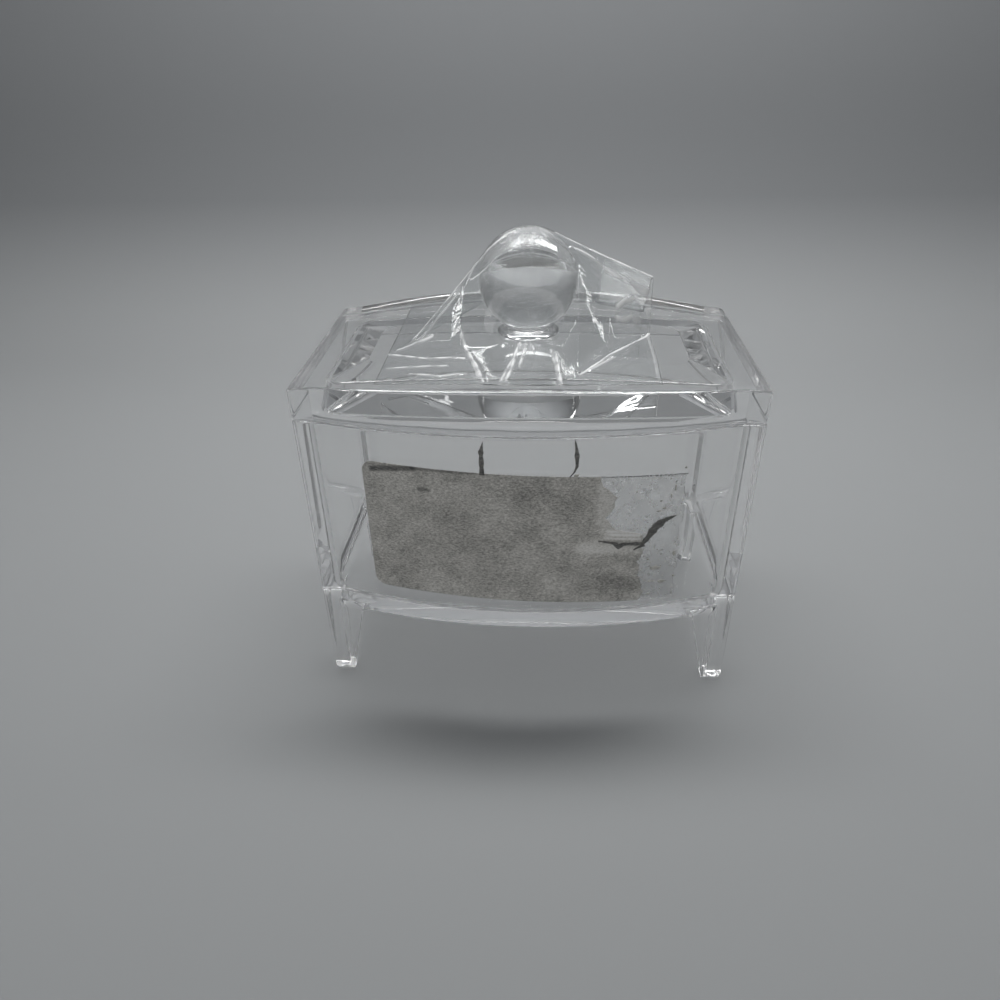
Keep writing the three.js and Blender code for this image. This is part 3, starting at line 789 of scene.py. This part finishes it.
def label_sheet():
    """Places along and up the wall of the label: rows from its round-cornered left edge to the tear."""
    up = np.linspace(0, 1, LABEL_GRID[0])[:, None]
    across = np.linspace(0, 1, LABEL_GRID[1])[None, :]
    height = LABEL_BOTTOM + up * LABEL_HEIGHT
    from_end = np.minimum(up, 1 - up) * LABEL_HEIGHT
    corner = np.maximum(LABEL_ROUND - from_end, 0)
    left = label_low.x + LABEL_ROUND - np.sqrt(LABEL_ROUND ** 2 - corner ** 2)
    x = left + across * (tear_x(height) - left)
    return x, height + LABEL_TILT * x


def label_tone(x, z):
    """How much paler or darker the label is at each place: each mark is full up to half of its half width
    and then fades out evenly over one more half width."""
    tone = np.zeros_like(x)
    for strength, half_width, points in LABEL_MARKS:
        distance = line_distance(x, z, np.array(points) * MM)
        tone += strength * np.clip(1.5 - distance / (half_width * MM), 0, 1)
    return tone


def dark_ribbon(points, half_widths):
    """Places of a dark strip: even steps along a line through its points, with an edge to each side of
    it."""
    points = np.array(points) * MM
    length = np.concatenate([[0], np.cumsum(np.linalg.norm(np.diff(points, axis=0), axis=1))])
    along = np.linspace(0, length[-1], RIBBON_STEPS * len(points))
    x, z = (np.interp(along, length, points[:, i]) for i in (0, 1))
    uneven = 1 + ragged(along, RIBBON_WAVE, RIBBON_RAGGED, seed=len(points))
    half = np.interp(along, length, half_widths) * MM * uneven
    turn = np.arctan2(np.gradient(z), np.gradient(x))
    side = np.linspace(-1, 1, RIBBON_POINTS)[None, :]
    across_x = side * (half * np.sin(turn))[:, None]
    across_z = side * (half * np.cos(turn))[:, None]
    return x[:, None] - across_x, z[:, None] + across_z


def paper_flecks():
    """Places of the flecks and crumbs of pulp on the glue, each a square of points bent to a round."""
    draw = np.random.default_rng(8)
    height = LABEL_BOTTOM + draw.uniform(*CRUMB_RISE, CRUMB_COUNT) * LABEL_HEIGHT
    spread = draw.exponential(CRUMB_SPREAD, CRUMB_COUNT)
    crumb_x = np.minimum(tear_x(height) + spread, LABEL_END - CRUMB_MARGIN)
    sizes = draw.uniform(CRUMB_LEAST, CRUMB_MOST, (2, CRUMB_COUNT)) * MM
    flecks = np.array(PAPER_FLECKS).T * MM
    x = np.concatenate([flecks[0], crumb_x])[:, None, None]
    z = np.concatenate([flecks[1], height + LABEL_TILT * crumb_x])[:, None, None]
    half_x = np.concatenate([flecks[2], sizes[0]])[:, None, None]
    half_z = np.concatenate([flecks[3], sizes[1]])[:, None, None]
    side = np.linspace(-1, 1, FLECK_POINTS)
    u, v = np.meshgrid(side, side)
    uneven = 1 + draw.uniform(-FLECK_UNEVEN, FLECK_UNEVEN, (len(x), FLECK_POINTS, FLECK_POINTS))
    round_x = half_x * u * np.sqrt(1 - v ** 2 / 2) * uneven
    round_z = half_z * v * np.sqrt(1 - u ** 2 / 2) * uneven
    return x + round_x, z + round_z


def label_mesh():
    """Label with its dark strips and flecks, all bent to the front wall, and its tones as an attribute."""
    gap = LABEL_GAP + LABEL_THICK / 2
    x, z = label_sheet()
    parts = [(x, z, label_tone(x, z))]
    for points, half_widths in DARK_RIBBONS:
        x, z = dark_ribbon(points, half_widths)
        parts.append((x, z, np.full_like(x, RIBBON_TONE)))
    for x, z in zip(*paper_flecks()):
        parts.append((x, z, np.full_like(x, FLECK_TONE)))
    lift = [0] + [RIBBON_LIFT] * len(DARK_RIBBONS) + [0] * (len(parts) - 1 - len(DARK_RIBBONS))
    grids = [on_front_wall(x, z, gap + up) for (x, z, tone), up in zip(parts, lift)]
    mesh = sheet_skin("label_paper", grids)
    tones = mesh.attributes.new("tone", "FLOAT", "POINT")
    tones.data.foreach_set("value", np.concatenate([tone.ravel() for x, z, tone in parts]))
    return mesh


def glue_mesh():
    """Dried glue where the label came away: rows from under the tear to the label's old right end, which is
    a little ragged."""
    up = np.linspace(0, 1, GLUE_GRID[0])[:, None]
    across = np.linspace(0, 1, GLUE_GRID[1])[None, :]
    height = LABEL_BOTTOM + up * LABEL_HEIGHT
    left = tear_x(height) - GLUE_UNDER
    x = left + across * (LABEL_END + ragged(height, GLUE_WAVE, GLUE_RAGGED, seed=5) - left)
    return sheet_skin("label_glue", [on_front_wall(x, height + LABEL_TILT * x, GLUE_GAP)])


def crease_rise(x, y):
    """Height that the creases add: each falls off steeply with the distance from its line, and a sine makes
    it swell and sink along it."""
    creases = [height * MM * np.exp(-line_distance(x, y, np.array(points) * MM) / CREASE_WIDTH)
               for height, white, points in CREASES]
    swell = CREASE_MEAN + CREASE_VARIES * np.sin(2 * math.pi * (y + CREASE_SLANT * x) / CREASE_SWELL)
    return np.sum(creases, axis=0) * swell


def painted_fold_glints(x, y):
    """Painted glints, as how white the film is: a bell curve across the line of each crease, which a sine
    makes come and go along it."""
    folds = [white * np.exp(-(line_distance(x, y, np.array(points) * MM) / GLINT_WIDTH) ** 2)
             for height, white, points in CREASES]
    fade = GLINT_MEAN + GLINT_VARIES * np.sin(2 * math.pi * (y + GLINT_SLANT * x) / GLINT_FADE)
    return np.max(folds, axis=0) * np.clip(fade, GLINT_LEAST, 1)


def pulled_over(distance, radius, slope):
    """Fall of a sheet pulled over a round: along the circle until the slope is reached, then straight
    on."""
    touch = radius * slope / np.hypot(1, slope)
    near = np.minimum(np.abs(distance), touch)
    return radius - np.sqrt(radius ** 2 - near ** 2) + slope * (np.abs(distance) - near)


def film_height(x, y):
    """Height of the film: it lies on the ball, leaves it in a straight ridge to each side and a straight
    fall to the front and the rear, and is eased into an apron that comes down gently to the lid's front
    edge."""
    radius = BALL_RADIUS + FILM_GAP
    left = x < 0
    past = np.maximum(np.abs(x) - FILM_HUG, 0)
    ridge_y = past * np.where(left, FILM_RIDGE_LEFT, FILM_RIDGE_RIGHT)
    ridge_round = radius * (1 - (1 - FILM_RIDGE_ROUND) * np.minimum(past / FILM_GATHER, 1))
    fall = pulled_over(x, radius, np.where(left, FILM_FALL_LEFT, FILM_FALL_RIGHT))
    steep = np.where(y < ridge_y, np.interp(x, FILM_FALL_X, FILM_FALL_FRONT), FILM_FALL_REAR)
    tent = BALL_Z + radius - fall - pulled_over(y - ridge_y, ridge_round, steep)
    ball = BALL_Z + np.sqrt(np.maximum(radius ** 2 - x ** 2 - y ** 2, 0))
    tent = np.where(np.hypot(x, y) < radius, np.maximum(tent, ball), tent)
    apron = FILM_APRON * np.clip(y - FILM_FRONT, 0, FILM_APRON_REACH)
    rest = lid_top(x) + FILM_GAP + apron * np.clip((x - film_low.x) / FILM_APRON_SIDE, 0, 1)
    return (tent + rest + np.hypot(tent - rest, FILM_EASE)) / 2


def film_grid():
    """Points of the film: even in plan from edge to edge, with a front edge that bows out in the middle.
    Below the ball it is drawn back to the neck, most in the middle, and the creases come on top."""
    across = np.linspace(0, 1, FILM_GRID[1])[None, :]
    back = np.linspace(0, 1, FILM_GRID[0])[:, None]
    x = film_low.x + across * (film_high.x - film_low.x) + 0 * back
    front = FILM_FRONT + FILM_BULGE * (x / film_high.x) ** 2
    y = front + back * (film_high.y - front)
    z = film_height(x, y)
    under = np.clip((BALL_Z + FILM_TUCK_TOP - z) / FILM_TUCK_DROP, 0, 1)
    ahead = np.clip((y - front) / (FILM_VALLEY - front), 0, 1) * np.clip(-y / FILM_TUCK_SIDE, 0, 1)
    middle = np.exp(-(x / FILM_TUCK_SIDE) ** 2)
    y = y + FILM_TUCK * middle * under ** 2 * (3 - 2 * under) * ahead
    return np.stack([x, y, z + crease_rise(x, y)], -1)


def stage():
    """Pale floor that sweeps up into a backdrop behind the holder, by a curve whose turn starts and ends
    gently."""
    share = np.linspace(0, 1, SWEEP_STEPS)
    turn = math.pi / 2 * share ** 2 * (3 - 2 * share)
    ahead = np.cumsum(np.cos(turn)) * SWEEP_LENGTH / SWEEP_STEPS
    up = np.cumsum(np.sin(turn)) * SWEEP_LENGTH / SWEEP_STEPS
    y = np.concatenate([FLOOR_ROWS, SWEEP_START + ahead, [SWEEP_START + ahead[-1]]])
    z = np.concatenate([np.zeros(len(FLOOR_ROWS)), up, [BACKDROP_TOP]]) - FLOOR_DROP
    grid = np.stack(np.broadcast_arrays(FLOOR_COLUMNS[None, :], y[:, None], z[:, None]), -1)
    floor = bpy.data.objects.new("floor", sheet_skin("floor", [grid]))
    floor.data.materials.append(pale_paper())
    bpy.context.scene.collection.objects.link(floor)


def soft_light(name, place_at, aim, width, length, power):
    """Soft rectangular lamp that faces a point."""
    lamp = bpy.data.lights.new(name, "AREA")
    lamp.shape = "RECTANGLE"
    lamp.size = width
    lamp.size_y = length
    lamp.energy = power
    made = bpy.data.objects.new(name, lamp)
    made.location = place_at
    made.rotation_euler = (Vector(aim) - Vector(place_at)).to_track_quat("-Z", "Y").to_euler()
    bpy.context.scene.collection.objects.link(made)


def light():
    """Grey room that is dim to the front, with a lamp above and behind the holder, a broad panel in front
    of it and a thin strip to each side, which draws bright lines along the clear edges."""
    world = bpy.data.worlds.new("studio")
    world.use_nodes = True
    tree = world.node_tree
    around = node(tree, "ShaderNodeTexCoord")
    direction = node(tree, "ShaderNodeSeparateXYZ", {}, {"Vector": around.outputs["Generated"]})
    tones = ramp(node(tree, "ShaderNodeValToRGB", {}, {"Fac": direction.outputs["Z"]}),
                 *((height, linear(code)) for height, code in ROOM_TONES))
    background = tree.nodes["Background"]
    background.inputs["Strength"].default_value = 1.0
    ahead = node(tree, "ShaderNodeMapRange", {"From Min": ROOM_FRONT_FROM, "From Max": ROOM_FRONT_TO},
                 {"Value": direction.outputs["Y"]})
    dim = node(tree, "ShaderNodeMix", {}, {"Factor": ahead.outputs["Result"]}, data_type="RGBA")
    dim.inputs["B"].default_value = linear(ROOM_FRONT)
    tree.links.new(tones.outputs["Color"], dim.inputs["A"])
    tree.links.new(dim.outputs["Result"], background.inputs["Color"])
    bpy.context.scene.world = world
    for lamp in LAMPS:
        soft_light(*lamp)


def camera():
    """Camera that looks down on the holder from the front, turned by its yaw, pitch and roll."""
    yaw = Matrix.Rotation(CAMERA_YAW, 3, "Z")
    pitch = Matrix.Rotation(-CAMERA_PITCH, 3, "X")
    roll = Matrix.Rotation(CAMERA_ROLL, 3, "Z")
    level = Matrix(((1, 0, 0), (0, 0, -1), (0, 1, 0)))
    right, down, ahead = roll @ pitch @ level @ yaw
    made = bpy.data.objects.new("camera", bpy.data.cameras.new("camera"))
    made.matrix_world = Matrix((right, -down, -ahead)).transposed().to_4x4()
    made.location = CAMERA_PLACE
    made.data.sensor_width = CAMERA_SENSOR
    made.data.lens = CAMERA_LENS
    made.data.clip_start = CAMERA_NEAR
    bpy.context.scene.collection.objects.link(made)
    bpy.context.scene.camera = made


def holder():
    """The dressed pieces of the holder."""
    acrylic = clear_acrylic()
    paper = torn_paper()
    place("box_moulding", box_mesh(), "holder_box", "clear_plastic", acrylic, "box")
    place("lid_moulding", lid_mesh(), "holder_lid", "clear_plastic", acrylic, "lid")
    place("knob_moulding", knob_mesh(), "holder_lid", "clear_plastic", acrylic, "knob")
    label = place("label_paper", label_mesh(), "holder_box", "label_paper", paper, "paper_label")
    thicken(label, LABEL_THICK)
    glue = place("label_glue", glue_mesh(), "holder_box", "film", dried_glue())
    thicken(glue, GLUE_THICK)
    grid = film_grid()
    sheet = sheet_skin("draped_film", [grid])
    # Painted glints along the creases, kept as an attribute of the film
    folds = sheet.attributes.new("fold_glint", "FLOAT", "POINT")
    folds.data.foreach_set("value", painted_fold_glints(grid[:, :, 0], grid[:, :, 1]).ravel())
    film = place("draped_film", sheet, "holder_lid", "film", packing_film(), "packing_film")
    thicken(film, FILM_THICK)


camera()
stage()
light()
holder()
scene = bpy.context.scene
scene.view_settings.view_transform = "Standard"
scene.cycles.max_bounces = LIGHT_BOUNCES
scene.cycles.transmission_bounces = LIGHT_BOUNCES
scene.cycles.glossy_bounces = LIGHT_BOUNCES
